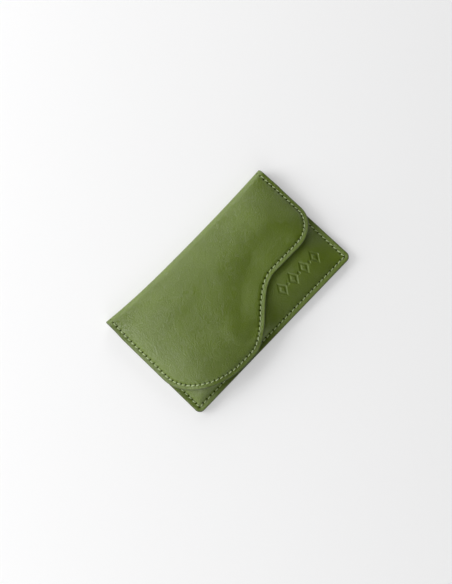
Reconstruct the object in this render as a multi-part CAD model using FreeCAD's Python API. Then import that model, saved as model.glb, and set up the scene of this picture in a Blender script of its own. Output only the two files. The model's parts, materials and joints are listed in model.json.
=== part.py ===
"""A leather card holder with a wave-edged flap that folds over a padded card pocket.

The origin is the middle of the face it rests on. +X runs along the fold, +Y points from the sewn
bottom edge to the fold, and +Z points up, from the back panel to the flap. All sizes are in mm.
"""

import FreeCAD
import Part
import math
import os
from FreeCAD import Vector

# Driving dimensions of the closed holder
BODY_LENGTH = 110.0
BODY_WIDTH = 65.0
CORNER_RADIUS = 3.0
FOLD_RADIUS = 3.7
MOUTH_Y = 15.0
DIVIDER_EDGE_Y = 18.0

# The pocket holds a stack of five ID-1 cards, with air between the cards
CARD_LENGTH = 85.6
CARD_WIDTH = 54.0
CARD_STACK = 4.16
CARD_SIDE_GAP = 0.2
CARD_FOLD_GAP = 0.3

# Sheet thicknesses, and the film of glue between two sheets
LEATHER = 1.0
LINING = 0.3
DIVIDER = 0.4
STIFFENER = 0.4
GLUE = 0.02

# Hidden closure
KEEPER_RADIUS = 7.0
KEEPER_THICKNESS = 0.5
MAGNET_RADIUS = 5.0
MAGNET_THICKNESS = 0.6
CLOSURE_X = -13.0
CLOSURE_Y = -16.4
RECESS_SIDE_GAP = 0.1
RECESS_DEPTH_GAP = 0.02

# Stitching: one stitch is a flat, round-ended bar, turned a little across its seam
STITCH_PITCH = 2.6
STITCH_LENGTH = 2.1
STITCH_WIDTH = 0.6
STITCH_THICKNESS = 0.2
STITCH_SLANT = math.radians(15)
STITCH_CLEARANCE = 0.08
BODY_SEAM_INSET = 2.5
FLAP_SEAM_INSET = 2.3
GROOVE_WIDTH = 1.0
GROOVE_DEPTH = 0.32

# The flap hangs clear of the pocket, and its side and bottom edges bend down
FLAP_GAP = 0.45
FLAP_SIDE_DROP = 3.6
FLAP_BOTTOM_DROP = 3.2
FLAP_OVERHANG = 0.5
STIFFENER_INSET = 5.0

# Flap outline: two round lobes joined by a wave. Each lobe is a quarter of an ellipse.
RIGHT_LOBE_LENGTH = 17.5
RIGHT_LOBE_WIDTH = 14.0
LEFT_LOBE_LENGTH = 33.5
LEFT_LOBE_WIDTH = 24.2
WAVE_HIGH_Y = -10.8
WAVE_LOW_Y = -32.2
WAVE_MIDDLE_X = 2.5
WAVE_LENGTH = 37.8
FLAP_STRAIGHT_Y = 20.0
WAVE_INSET_SHIFT = 0.38

# Values worked out from the driving dimensions
HALF_LENGTH = BODY_LENGTH / 2
HALF_WIDTH = BODY_WIDTH / 2
FLAP_HALF_LENGTH = HALF_LENGTH + FLAP_OVERHANG
FOLD_Y = HALF_WIDTH - FOLD_RADIUS
BACK_LINING_Z = LEATHER + GLUE
DIVIDER_Z = BACK_LINING_Z + LINING + GLUE
SEAM_LINING_Z = DIVIDER_Z + DIVIDER + GLUE
PUFF = CARD_STACK + GLUE
LINING_AND_GLUE = LINING + GLUE
PANEL_TOP_Z = SEAM_LINING_Z + PUFF + LINING_AND_GLUE + LEATHER
FLAP_PLATEAU_Z = PANEL_TOP_Z + FLAP_GAP
FLAP_AT_FOLD_Z = 2 * FOLD_RADIUS - LEATHER - LINING_AND_GLUE

# Where the padded shapes start and end their slopes
CARD_CORNER_X = CARD_LENGTH / 2 + CARD_SIDE_GAP
PANEL_SIDE_FOOT_X = HALF_LENGTH - 3.0
CARD_BOTTOM_Y = FOLD_Y - CARD_FOLD_GAP - CARD_WIDTH
PANEL_FOOT_Y = -HALF_WIDTH + BODY_SEAM_INSET
FLAP_SIDE_FOOT_X = HALF_LENGTH + 2.0
FLAP_BOTTOM_TOP_Y = -24.5
FLAP_BOTTOM_FOOT_Y = -36.0
FLAP_LEVEL_Y = 16.5

# Sampling of the smooth sheets, and the height of the prisms that cut them out
GRID_STEP = 1.1
SHEET_MARGIN = 4.0
SKIN_TOLERANCE = 0.002  # of a smooth face from the points that it is fitted to
CUTTER_HEIGHT = 30.0
CUTTER_BASE = -5.0

# The fold is a half round in three lengths, which meet at these angles from the back panel
FOLD_FIRST_SPLIT = 45.0
FOLD_SECOND_SPLIT = 135.0
FOLD_SPLIT_GAP = 2.0
FOLD_STITCH_ANGLE = 18.0

# The flap's own length of the fold ends here, measured along the leather
FLAP_LIP_END = FOLD_Y + FOLD_RADIUS * math.radians(180 - FOLD_SECOND_SPLIT)


def smooth(start, end, value):
    """0 before start, 1 after end, and an even slope between them. start may be above end."""
    t = min(max((value - start) / (end - start), 0.0), 1.0)
    return t**3 * (10 - 15 * t + 6 * t * t)


def panel_lining_height(x, y):
    """Underside of the front lining: flat over the cards, and down on the seam at three sides."""
    side = smooth(PANEL_SIDE_FOOT_X, CARD_CORNER_X, abs(x))
    bottom = smooth(PANEL_FOOT_Y, CARD_BOTTOM_Y, y)
    return SEAM_LINING_Z + PUFF * side * bottom


def panel_height(x, y):
    """Underside of the front leather."""
    return panel_lining_height(x, y) + LINING_AND_GLUE


def flap_lining_height(x, y):
    """Underside of the flap lining: level over the pocket, lower at the fold and at its free edges."""
    side_drop = FLAP_SIDE_DROP * smooth(CARD_CORNER_X, FLAP_SIDE_FOOT_X, abs(x))
    bottom_drop = FLAP_BOTTOM_DROP * smooth(FLAP_BOTTOM_TOP_Y, FLAP_BOTTOM_FOOT_Y, y)
    free_height = FLAP_PLATEAU_Z - side_drop - bottom_drop
    from_fold = smooth(FOLD_Y, FLAP_LEVEL_Y, y)
    return FLAP_AT_FOLD_Z + (free_height - FLAP_AT_FOLD_Z) * from_fold


def flap_height(x, y):
    """Underside of the flap leather."""
    return flap_lining_height(x, y) + LINING_AND_GLUE


def raised(height, amount):
    """The same sheet, higher by amount."""
    return lambda x, y: height(x, y) + amount


def normal_at(height, x, y):
    """Upward normal of a sheet."""
    step = 0.05
    slope_x = (height(x + step, y) - height(x - step, y)) / (2 * step)
    slope_y = (height(x, y + step) - height(x, y - step)) / (2 * step)
    return Vector(-slope_x, -slope_y, 1).normalize()


def spaced(low, high):
    """Evenly spaced values from low to high, no further apart than the grid step."""
    count = math.ceil((high - low) / GRID_STEP)
    return [low + (high - low) * i / count for i in range(count + 1)]


def on_sheet(height, rise, x, along):
    """A point at rise above a sheet. Past FOLD_Y, along is measured round the outside of the fold."""
    z = height(x, min(along, FOLD_Y)) + rise
    if along <= FOLD_Y:
        return Vector(x, along, z)
    turn = (along - FOLD_Y) / FOLD_RADIUS
    radius = z - FOLD_RADIUS
    return Vector(x, FOLD_Y + radius * math.sin(turn), FOLD_RADIUS + radius * math.cos(turn))


def rims(surface):
    """The four edges of a surface."""
    first_u, last_u, first_v, last_v = surface.bounds()
    curves = surface.uIso(first_u), surface.uIso(last_u), surface.vIso(first_v), surface.vIso(last_v)
    return [curve.toShape() for curve in curves]


def skin(height, rise, columns, rows):
    """One smooth face of a sheet. Its parameters are evenly spaced, which keeps its meshes regular."""
    points = [[on_sheet(height, rise, x, along) for along in rows] for x in columns]
    surface = Part.BSplineSurface()
    surface.approximate(
        Points=points,
        DegMin=3,
        DegMax=3,
        Continuity=2,
        Tolerance=SKIN_TOLERANCE,
        ParamType="Uniform",
    )
    return surface


def sheet(height, thickness, outline, end):
    """A curved sheet over height, cut out to the outline, that stops at end.

    Where the sheet's own end is to stay, the outline runs past it.
    """
    columns = spaced(-HALF_LENGTH - SHEET_MARGIN, HALF_LENGTH + SHEET_MARGIN)
    rows = spaced(-HALF_WIDTH - SHEET_MARGIN, end)
    lower, upper = skin(height, 0, columns, rows), skin(height, thickness, columns, rows)
    walls = [Part.makeRuledSurface(low, high) for low, high in zip(rims(lower), rims(upper))]
    shell = Part.Shell([lower.toShape(), upper.toShape()] + walls)
    shell.sewShape()
    return Part.Solid(shell).common(prism(outline)).Solids[0]


def prism(outline, low=CUTTER_BASE, height=CUTTER_HEIGHT):
    """The solid above a closed outline that lies in the XY plane."""
    face = Part.Face(outline)
    face.translate(Vector(0, 0, low))
    return face.extrude(Vector(0, 0, height))


def body_outline(high_y):
    """Rectangle with rounded bottom corners, from the bottom edge up to high_y."""
    left, right, bottom, r = -HALF_LENGTH, HALF_LENGTH, -HALF_WIDTH, CORNER_RADIUS
    diagonal = r * math.sqrt(0.5)
    edges = [
        Part.LineSegment(Vector(left + r, bottom, 0), Vector(right - r, bottom, 0)),
        Part.Arc(
            Vector(right - r, bottom, 0),
            Vector(right - r + diagonal, bottom + r - diagonal, 0),
            Vector(right, bottom + r, 0),
        ),
        Part.LineSegment(Vector(right, bottom + r, 0), Vector(right, high_y, 0)),
        Part.LineSegment(Vector(right, high_y, 0), Vector(left, high_y, 0)),
        Part.LineSegment(Vector(left, high_y, 0), Vector(left, bottom + r, 0)),
        Part.Arc(
            Vector(left, bottom + r, 0),
            Vector(left + r - diagonal, bottom + r - diagonal, 0),
            Vector(left + r, bottom, 0),
        ),
    ]
    return Part.Wire([edge.toShape() for edge in edges])


def wave_edge(middle_x, low_y, high_y):
    """Half a cosine from the right lobe's level down to the left lobe's level."""
    middle_y = (high_y + low_y) / 2
    amplitude = (high_y - low_y) / 2
    samples = 12
    points = []
    for i in range(samples + 1):
        turn = i / samples
        x = middle_x + WAVE_LENGTH * (0.5 - turn)
        points.append(Vector(x, middle_y + amplitude * math.cos(math.pi * turn), 0))
    curve = Part.BSplineCurve()
    level = Vector(-WAVE_LENGTH, 0, 0)
    curve.interpolate(Points=points, InitialTangent=level, FinalTangent=level)
    return curve


def lobe_arc(centre, length, width, start):
    """A quarter of an ellipse, from the start angle onwards."""
    ellipse = Part.Ellipse(centre, length, width)
    return Part.ArcOfEllipse(ellipse, math.radians(start), math.radians(start + 90))


def flap_edges(inset=0.0):
    """The free edge of the flap, from the left end of the fold round to its right end.

    With an inset, every edge is that far inside the flap's own.
    """
    fold_half, half = HALF_LENGTH - inset, FLAP_HALF_LENGTH - inset
    fold_y = FOLD_Y - inset
    low_y, high_y = WAVE_LOW_Y + inset, WAVE_HIGH_Y + inset
    left_length, left_width = LEFT_LOBE_LENGTH - inset, LEFT_LOBE_WIDTH - inset
    right_length, right_width = RIGHT_LOBE_LENGTH - inset, RIGHT_LOBE_WIDTH - inset
    left_centre = Vector(-half + left_length, low_y + left_width, 0)
    right_centre = Vector(half - right_length, high_y + right_width, 0)
    wave_x = WAVE_MIDDLE_X - WAVE_INSET_SHIFT * inset
    wave_low = Vector(wave_x - WAVE_LENGTH / 2, low_y, 0)
    wave_high = Vector(wave_x + WAVE_LENGTH / 2, high_y, 0)
    left_straight = Vector(-half, FLAP_STRAIGHT_Y, 0)
    right_straight = Vector(half, FLAP_STRAIGHT_Y, 0)
    return [
        Part.LineSegment(Vector(-fold_half, fold_y, 0), left_straight),
        Part.LineSegment(left_straight, left_centre - Vector(left_length, 0, 0)),
        lobe_arc(left_centre, left_length, left_width, 180),
        Part.LineSegment(left_centre - Vector(0, left_width, 0), wave_low),
        wave_edge(wave_x, low_y, high_y),
        Part.LineSegment(wave_high, right_centre - Vector(0, right_width, 0)),
        lobe_arc(right_centre, right_length, right_width, 270),
        Part.LineSegment(right_centre + Vector(right_length, 0, 0), right_straight),
        Part.LineSegment(right_straight, Vector(fold_half, fold_y, 0)),
    ]


def flap_outline(inset=0.0, past_fold=0.0):
    """The flap's free edge, closed by a line along the fold, or by one past_fold beyond it."""
    edges = [edge.toShape() for edge in flap_edges(inset)]
    left, right = edges[0].firstVertex().Point, edges[-1].lastVertex().Point
    if past_fold:
        up = Vector(0, past_fold, 0)
        edges.append(Part.LineSegment(right, right + up).toShape())
        edges.append(Part.LineSegment(left + up, left).toShape())
        left, right = left + up, right + up
    edges.append(Part.LineSegment(right, left).toShape())
    return Part.Wire(Part.__sortEdges__(edges))


def fold_length(outer, inner, start, end):
    """A length of the half-round fold between two radii and two angles from the back panel."""

    def at(radius, angle):
        turn = math.radians(angle)
        return Vector(0, FOLD_Y + radius * math.sin(turn), FOLD_RADIUS - radius * math.cos(turn))

    middle = (start + end) / 2
    edges = [
        Part.Arc(at(outer, start), at(outer, middle), at(outer, end)),
        Part.LineSegment(at(outer, end), at(inner, end)),
        Part.Arc(at(inner, end), at(inner, middle), at(inner, start)),
        Part.LineSegment(at(inner, start), at(outer, start)),
    ]
    face = Part.Face(Part.Wire([edge.toShape() for edge in edges]))
    face.translate(Vector(-HALF_LENGTH, 0, 0))
    return face.extrude(Vector(BODY_LENGTH, 0, 0))


def fold_radii(is_lining):
    """Outer and inner radius of the fold's leather or of its lining."""
    if is_lining:
        return FOLD_RADIUS - LEATHER - GLUE, FOLD_RADIUS - LEATHER - LINING_AND_GLUE
    return FOLD_RADIUS, FOLD_RADIUS - LEATHER


def back_lip(is_lining):
    """The end of the fold that stays with the back panel."""
    outer, inner = fold_radii(is_lining)
    return fold_length(outer, inner, 0, FOLD_FIRST_SPLIT)


def joined(first, second):
    """One solid from two that share a face."""
    return first.fuse(second).removeSplitter().Solids[0]


def seam_groove():
    """The groove under the back panel that the lower thread lies in."""
    outline = body_outline(FOLD_Y + SHEET_MARGIN)
    outside = prism(outline.makeOffset2D(GROOVE_WIDTH / 2 - BODY_SEAM_INSET), 0, GROOVE_DEPTH)
    inside = prism(outline.makeOffset2D(-GROOVE_WIDTH / 2 - BODY_SEAM_INSET), 0, GROOVE_DEPTH)
    return outside.cut(inside)


def back_panel():
    flat = prism(body_outline(FOLD_Y), 0, LEATHER)
    flat = flat.cut(seam_groove()).Solids[0]
    return joined(flat, back_lip(is_lining=False))


def back_lining():
    flat = prism(body_outline(FOLD_Y), BACK_LINING_Z, LINING)
    return joined(flat, back_lip(is_lining=True))


def card_divider():
    return prism(body_outline(DIVIDER_EDGE_Y), DIVIDER_Z, DIVIDER)


def front_lining():
    return sheet(panel_lining_height, LINING, body_outline(MOUTH_Y + SHEET_MARGIN), MOUTH_Y)


def closure_disc(radius, thickness, low):
    return Part.makeCylinder(radius, thickness, Vector(CLOSURE_X, CLOSURE_Y, low))


def front_panel():
    leather = sheet(panel_height, LEATHER, body_outline(MOUTH_Y + SHEET_MARGIN), MOUTH_Y)
    low = panel_height(CLOSURE_X, CLOSURE_Y) - GLUE
    recess = closure_disc(
        KEEPER_RADIUS + RECESS_SIDE_GAP, KEEPER_THICKNESS + GLUE + RECESS_DEPTH_GAP, low
    )
    return leather.cut(recess).Solids[0]


def front_keeper():
    low = panel_height(CLOSURE_X, CLOSURE_Y) + RECESS_DEPTH_GAP / 2
    return closure_disc(KEEPER_RADIUS, KEEPER_THICKNESS, low)


def fold_leather():
    outer, inner = fold_radii(is_lining=False)
    return fold_length(outer, inner, FOLD_FIRST_SPLIT + FOLD_SPLIT_GAP, FOLD_SECOND_SPLIT - FOLD_SPLIT_GAP)


def fold_lining():
    outer, inner = fold_radii(is_lining=True)
    return fold_length(outer, inner, FOLD_FIRST_SPLIT + FOLD_SPLIT_GAP, FOLD_SECOND_SPLIT - FOLD_SPLIT_GAP)


def flap_leather():
    leather = sheet(flap_height, LEATHER, flap_outline(past_fold=SHEET_MARGIN), FLAP_LIP_END)
    recess = sheet(
        raised(flap_height, -GLUE / 2),
        STIFFENER + GLUE,
        flap_outline(STIFFENER_INSET - RECESS_SIDE_GAP),
        FOLD_Y,
    )
    low = flap_height(CLOSURE_X, CLOSURE_Y) - GLUE
    magnet_recess = closure_disc(
        MAGNET_RADIUS + RECESS_SIDE_GAP, MAGNET_THICKNESS + GLUE + RECESS_DEPTH_GAP, low
    )
    return leather.cut(recess).cut(magnet_recess).Solids[0]


def flap_lining():
    return sheet(flap_lining_height, LINING, flap_outline(past_fold=SHEET_MARGIN), FLAP_LIP_END)


def flap_stiffener():
    board = sheet(flap_height, STIFFENER, flap_outline(STIFFENER_INSET), FOLD_Y)
    hole = closure_disc(MAGNET_RADIUS + RECESS_SIDE_GAP, CUTTER_HEIGHT, 0)
    return board.cut(hole).Solids[0]


def flap_magnet():
    low = flap_height(CLOSURE_X, CLOSURE_Y) + RECESS_DEPTH_GAP / 2
    return closure_disc(MAGNET_RADIUS, MAGNET_THICKNESS, low)


def stitch():
    """One stitch along X, lying on the XY plane."""
    half = (STITCH_LENGTH - STITCH_WIDTH) / 2
    r = STITCH_WIDTH / 2
    edges = [
        Part.LineSegment(Vector(-half, -r, 0), Vector(half, -r, 0)),
        Part.Arc(Vector(half, -r, 0), Vector(half + r, 0, 0), Vector(half, r, 0)),
        Part.LineSegment(Vector(half, r, 0), Vector(-half, r, 0)),
        Part.Arc(Vector(-half, r, 0), Vector(-half - r, 0, 0), Vector(-half, -r, 0)),
    ]
    face = Part.Face(Part.Wire([edge.toShape() for edge in edges]))
    return face.extrude(Vector(0, 0, STITCH_THICKNESS))


def placed_stitch(place, along, normal):
    """A stitch on a sheet at place, slanted from the seam's direction, and clear of the sheet."""
    across = normal.cross(along).normalize()
    along = across.cross(normal).normalize()
    slanted = along * math.cos(STITCH_SLANT) + across * math.sin(STITCH_SLANT)
    rotation = FreeCAD.Rotation(slanted, normal.cross(slanted), normal, "XYZ")
    one = stitch()
    one.Placement = FreeCAD.Placement(place + normal * STITCH_CLEARANCE, rotation)
    return one


def seam_places(edges, distance):
    """Evenly pitched points on open edges moved sideways by distance, and the direction at each."""
    wire = Part.Wire([edge.toShape() for edge in edges])
    count = round(wire.Length / STITCH_PITCH)
    per_stitch = 8
    points = wire.discretize(Number=count * per_stitch + 1)
    places = []
    for i in range(per_stitch // 2, count * per_stitch, per_stitch):
        along = (points[i + 1] - points[i - 1]).normalize()
        inwards = Vector(-along.y, along.x, 0)
        places.append((points[i] + inwards * distance, along))
    return places


def body_seam():
    """Stitch places down the left side, along the bottom, and up the right side."""
    left, right = -HALF_LENGTH + BODY_SEAM_INSET, HALF_LENGTH - BODY_SEAM_INSET
    bottom = -HALF_WIDTH + BODY_SEAM_INSET
    corners = [
        Vector(left, FOLD_Y, 0),
        Vector(left, bottom, 0),
        Vector(right, bottom, 0),
        Vector(right, FOLD_Y, 0),
    ]
    places = []
    for start, end in zip(corners, corners[1:]):
        count = round((end - start).Length / STITCH_PITCH)
        step = (end - start) / count
        along = Vector(step).normalize()
        places += [(start + step * (i + 0.5), along) for i in range(count)]
    return places


def pocket_top(y):
    """Top of the stack of sheets at the side seams."""
    half_stitch = STITCH_LENGTH / 2
    if y < MOUTH_Y + half_stitch:
        return SEAM_LINING_Z + LINING_AND_GLUE + LEATHER
    if y < DIVIDER_EDGE_Y + half_stitch:
        return DIVIDER_Z + DIVIDER
    return BACK_LINING_Z + LINING


def pocket_needle_thread():
    up = Vector(0, 0, 1)
    stitches = []
    for place, along in body_seam():
        stitches.append(placed_stitch(Vector(place.x, place.y, pocket_top(place.y)), along, up))
    return Part.Compound(stitches)


def pocket_bobbin_thread():
    """The lower stitches, sunk in their groove so that nothing stands below the resting face."""
    down = Vector(0, 0, -1)
    roof = Vector(0, 0, GROOVE_DEPTH)
    return Part.Compound([placed_stitch(place + roof, along, down) for place, along in body_seam()])


def mouth_thread():
    """Stitches across the open edge of the front panel, between its side seams."""
    half = CARD_CORNER_X
    start = Vector(-half, MOUTH_Y - BODY_SEAM_INSET, 0)
    count = round(2 * half / STITCH_PITCH)
    step = 2 * half / count
    along = Vector(1, 0, 0)
    stitches = []
    for i in range(count):
        place = start + along * (step * (i + 0.5))
        place.z = panel_height(place.x, place.y) + LEATHER
        stitches.append(placed_stitch(place, along, Vector(0, 0, 1)))
    return Part.Compound(stitches)


def fold_thread():
    """The stitches that run round the outside of the fold at its two ends."""
    angles = (90 - FOLD_STITCH_ANGLE, 90 + FOLD_STITCH_ANGLE)
    stitches = []
    for x in (-HALF_LENGTH + BODY_SEAM_INSET, HALF_LENGTH - BODY_SEAM_INSET):
        for angle in angles:
            turn = math.radians(angle)
            out = Vector(0, math.sin(turn), -math.cos(turn))
            along = Vector(0, math.cos(turn), math.sin(turn))
            centre = Vector(x, FOLD_Y, FOLD_RADIUS)
            stitches.append(placed_stitch(centre + out * FOLD_RADIUS, along, out))
    return Part.Compound(stitches)


def flap_needle_thread():
    top = raised(flap_height, LEATHER)
    stitches = []
    for place, along in seam_places(flap_edges(), FLAP_SEAM_INSET):
        place.z = top(place.x, place.y)
        stitches.append(placed_stitch(place, along, normal_at(top, place.x, place.y)))
    return Part.Compound(stitches)


def flap_bobbin_thread():
    stitches = []
    for place, along in seam_places(flap_edges(), FLAP_SEAM_INSET):
        place.z = flap_lining_height(place.x, place.y)
        down = normal_at(flap_lining_height, place.x, place.y) * -1
        stitches.append(placed_stitch(place, along, down))
    return Part.Compound(stitches)


PARTS = (
    back_panel,
    back_lining,
    card_divider,
    front_lining,
    front_panel,
    front_keeper,
    pocket_needle_thread,
    pocket_bobbin_thread,
    mouth_thread,
    fold_leather,
    fold_lining,
    fold_thread,
    flap_leather,
    flap_lining,
    flap_stiffener,
    flap_magnet,
    flap_needle_thread,
    flap_bobbin_thread,
)

os.makedirs("parts", exist_ok=True)
for make in PARTS:
    make().exportStep(f"parts/{make.__name__}.step")
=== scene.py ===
import json
import math

import bmesh
import bpy
import numpy as np
from mathutils import Matrix, Vector, geometry, noise


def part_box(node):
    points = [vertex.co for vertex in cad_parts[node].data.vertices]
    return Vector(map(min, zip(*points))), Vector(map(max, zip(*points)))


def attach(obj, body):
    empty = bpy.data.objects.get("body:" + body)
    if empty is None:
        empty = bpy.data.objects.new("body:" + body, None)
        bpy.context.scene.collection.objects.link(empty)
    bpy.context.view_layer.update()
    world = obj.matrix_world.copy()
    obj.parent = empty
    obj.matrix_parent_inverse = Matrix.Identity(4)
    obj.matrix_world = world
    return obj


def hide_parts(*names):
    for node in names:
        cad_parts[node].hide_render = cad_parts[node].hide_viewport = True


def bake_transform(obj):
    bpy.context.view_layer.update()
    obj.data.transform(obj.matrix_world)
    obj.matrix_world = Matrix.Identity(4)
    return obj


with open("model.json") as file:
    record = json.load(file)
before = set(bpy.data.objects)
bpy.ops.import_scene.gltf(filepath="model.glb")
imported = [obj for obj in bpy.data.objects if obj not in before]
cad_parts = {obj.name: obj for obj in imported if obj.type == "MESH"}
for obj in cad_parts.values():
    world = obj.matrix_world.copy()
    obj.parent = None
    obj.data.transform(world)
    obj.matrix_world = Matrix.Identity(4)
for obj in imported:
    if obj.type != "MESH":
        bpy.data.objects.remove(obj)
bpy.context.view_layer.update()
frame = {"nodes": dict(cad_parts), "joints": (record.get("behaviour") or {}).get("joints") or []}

# Shapes are worked out in millimetres along the frame's own axes, and turned to metres as meshes are made.
# A sheet of leather is described flat: x runs along the fold, and s runs from the bottom edge to the fold and
# on round it, so a point (x, s) stays at the same place on the leather however the sheet is bent.
MM = 0.001


def frame_box(node):
    """Lowest and highest corner of a CAD node, in mm."""
    low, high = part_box(node)
    return np.array(low) / MM, np.array(high) / MM


# ------------------------------ sizes from the frame
HINGES = {joint["name"]: joint for joint in frame["joints"]}
_, HINGE_Y, HINGE_Z = np.array(HINGES["fold_hinge"]["pos_m"]) / MM
FOLD_RADIUS = HINGE_Z / (1 - math.pi / 4)
FOLD_Y = HINGE_Y - FOLD_RADIUS * math.pi / 4
FOLD_END = FOLD_Y + FOLD_RADIUS * math.pi / 2

FILM = 0.02  # between two sheets that touch
BOTTOM_Y = frame_box("back_panel")[0][1]
HALF_LENGTH = frame_box("back_panel")[1][0]
LEATHER = frame_box("back_lining")[0][2] - FILM
LINING = frame_box("card_divider")[0][2] - frame_box("back_lining")[0][2] - FILM
DIVIDER_LOW, DIVIDER_HIGH = frame_box("card_divider")
DIVIDER = DIVIDER_HIGH[2] - DIVIDER_LOW[2]
MOUTH_Y = frame_box("front_panel")[1][1]
SEAM_TOP = DIVIDER_HIGH[2] + 2 * FILM + LINING + LEATHER
PANEL_TOP = frame_box("front_keeper")[0][2] + LEATHER
FLAP_TOP = frame_box("flap_magnet")[0][2] + LEATHER
FLAP_HALF_LENGTH = frame_box("flap_leather")[1][0]
FLAP_LOW_Y = frame_box("flap_leather")[0][1]
MAGNET = sum(frame_box("flap_magnet"))[:2] / 2
MAGNET_RADIUS = frame_box("flap_magnet")[1][0] - MAGNET[0]
KEEPER_LOW, KEEPER_HIGH = frame_box("front_keeper")
KEEPER_RADIUS = (KEEPER_HIGH[0] - KEEPER_LOW[0]) / 2
BOARD_INSET = FLAP_HALF_LENGTH - frame_box("flap_stiffener")[1][0]
BOARD = frame_box("flap_stiffener")[1][2] - frame_box("flap_magnet")[0][2]

# ------------------------------ outlines, in mm
CORNER_RADIUS = 3.0
MOUTH_CORNER_RADIUS = 1.5
LEFT_LOBE = np.array((33.5, 24.2))
RIGHT_LOBE = np.array((17.5, 14.0))
WAVE_RISE = 21.4
WAVE_LENGTH = 37.8
WAVE_MIDDLE_X = 2.5
WAVE_INSET_SHIFT = 0.38  # to the left, for each mm that a line runs inside the edge
FLAP_STRAIGHT_Y = 20.0

# ------------------------------ seams, in mm
STITCH_PITCH = 2.6
STITCH_LENGTH = 1.75
STITCH_SLANT = math.radians(13)
THREAD_RADIUS = 0.2
LINING_THREAD_RADIUS = 0.14
BODY_SEAM_INSET = 2.5
FLAP_SEAM_INSET = 2.3
TOP_STITCHES_END = FOLD_Y + 1.8
POINTS_PER_STITCH = 6
HOLE_RADIUS = 0.34
HOLE_DEPTH = 0.5
HOLE_SHIFT = 0.2
# How deep a seam draws the leather in, and how wide.
FLAP_DIP = (0.26, 0.9)
BACK_DIP = (0.42, 0.55)
PANEL_DIP = (0.22, 1.0)

# ------------------------------ soft shape, in mm
CARD_SIDE_X = 43.0
CARD_BOTTOM_Y = -25.5
# The front panel rises from its foot, at the seam, to where it is level.
PANEL_FOOT_X = 52.0
PANEL_LEVEL_X = 34.0
PANEL_LEVEL_Y = -13.0
PANEL_LUMPS = (0.07, 9, 5.5)
# The plain flap falls over the cards' sides and lower edge, each between two places.
FLAP_SIDE_DROP = 3.6
FLAP_BOTTOM_DROP = 3.2
SIDE_FALL = (CARD_SIDE_X, 57.0)
BOTTOM_FALL = (CARD_BOTTOM_Y + 1, BOTTOM_Y - 3.5)
# The outside of the flap falls in longer slopes, which start here.
FLAP_LEVEL_X = 36.0
LOBE_LEVEL_Y = -15.0
FLAP_LEVEL_Y = 8.0
PADDING = 0.32
PADDING_WIDTH = 7.0
PADDING_LUMPS = ((0.08, 15, 3.1), (0.04, 6, 8.7))
THINNEST = 0.35
VALLEY_DEPTH = 0.16
VALLEY_INSET = 12.0
VALLEY_WIDTH = 3.2
MAGNET_BUMP = 0.4
MAGNET_BUMP_REACH = 5.0
CROWN = 1.3
CROWN_X = 12.0
CROWN_WIDTH = (4, 26)
CURL = 0.4
CURL_WIDTH = 8.0
FOLD_BOW = 1.9
FOLD_BOW_REACH = 24.0
BOW_X = -16.0

# ------------------------------ stamped row, in mm
MOTIF_COUNT = 4
MOTIF_CENTRE = (29.3, -19.3)
MOTIF_PITCH = 7.8
MOTIF_HALF_HEIGHT = 2.9
MOTIF_HALF_WIDTH = 2.0
MOTIF_DEPTH = 0.32
MOTIF_STROKE = (0.85, 0.25)  # distance from a line where the stamp starts, and where it is deepest
MOTIF_DOT = (0.95, 0.45)

# ------------------------------ light and camera
LIGHT_DISTANCE = 1.1
LOW_LIGHTS = ((45, 4.9), (90, 3.5), (135, 13.4), (225, 3.2))  # azimuth in degrees and power in watts
LOW_ELEVATION = 22
LOW_SIZE = 0.7
HIGH_LIGHTS = ((135, 1.2), (180, 2.7), (225, 1.7))
HIGH_ELEVATION = 48
HIGH_SIZE = 0.9
BACKDROP_BRIGHTNESS = 0.85
FLOOR_SIZE = 3.0
FLOOR_GAP = 0.00002
FLOOR_GLOW = 0.34

CAMERA_AZIMUTH = math.radians(-52.63)
CAMERA_ELEVATION = math.radians(79.36)
CAMERA_ROLL = math.radians(6.63)
CAMERA_DISTANCE = 0.4094
CAMERA_TARGET = Vector((-0.00197, 0.00078, 0))

# ------------------------------ colours
LEATHER_COLOUR = (0.097, 0.147, 0.001)
LINING_COLOUR = (0.085, 0.125, 0.028)
STEEL_COLOUR = (0.55, 0.55, 0.55)
NICKEL_COLOUR = (0.64, 0.62, 0.58)
BOARD_COLOURS = (0.30, 0.24, 0.16, 1), (0.58, 0.50, 0.38, 1)
THREAD_COLOURS = (0.46, 0.54, 0.29, 1), (0.60, 0.68, 0.42, 1)
FIBRE_COLOUR = (0.30, 0.38, 0.17, 1)
FLOOR_COLOUR = (0.57, 0.57, 0.572, 1)
WHITE = (1.0, 1.0, 1.0, 1)


def smooth(start, end, value):
    """0 before start, 1 after end, and an even slope between them. start may be above end."""
    t = np.clip((value - start) / (end - start), 0.0, 1.0)
    return t**3 * (10 - 15 * t + 6 * t * t)


def pillow(start, end, value):
    """0 before start, then a slope that is steepest there and fades out at end, where 1 is reached."""
    t = np.clip((value - start) / (end - start), 0.0, 1.0)
    return 1 - (1 - t) ** 2


def ridge(value, centre, width):
    """1 at centre, and falling off evenly at both sides of it."""
    return np.exp(-(((value - centre) / width) ** 2))


def lumps(x, s, height, size, seed):
    """Even, repeatable lumps and hollows of about the given height and size."""
    points = np.stack((x / size, s / size, np.full(len(x), seed)), 1)
    return height * 2 * np.array([noise.noise(Vector(p)) for p in points])


def soft_ramp(value, width):
    """value where it is above 0, and 0 below, with the corner rounded over about width."""
    return (value + np.sqrt(value**2 + width**2)) / 2


# ------------------------------ outlines
def arc(centre, radii, start, end):
    """Points on an ellipse between two angles in degrees."""
    turn = np.radians(np.linspace(start, end, 46))[:, None]
    return np.array(centre) + np.array(radii) * np.hstack((np.cos(turn), np.sin(turn)))


def chain(*stretches):
    """One line through all the stretches, with no point twice."""
    line = np.vstack(stretches)
    gaps = np.linalg.norm(np.diff(line, axis=0), axis=1)
    return line[np.append(True, gaps > 1e-6)]


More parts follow.
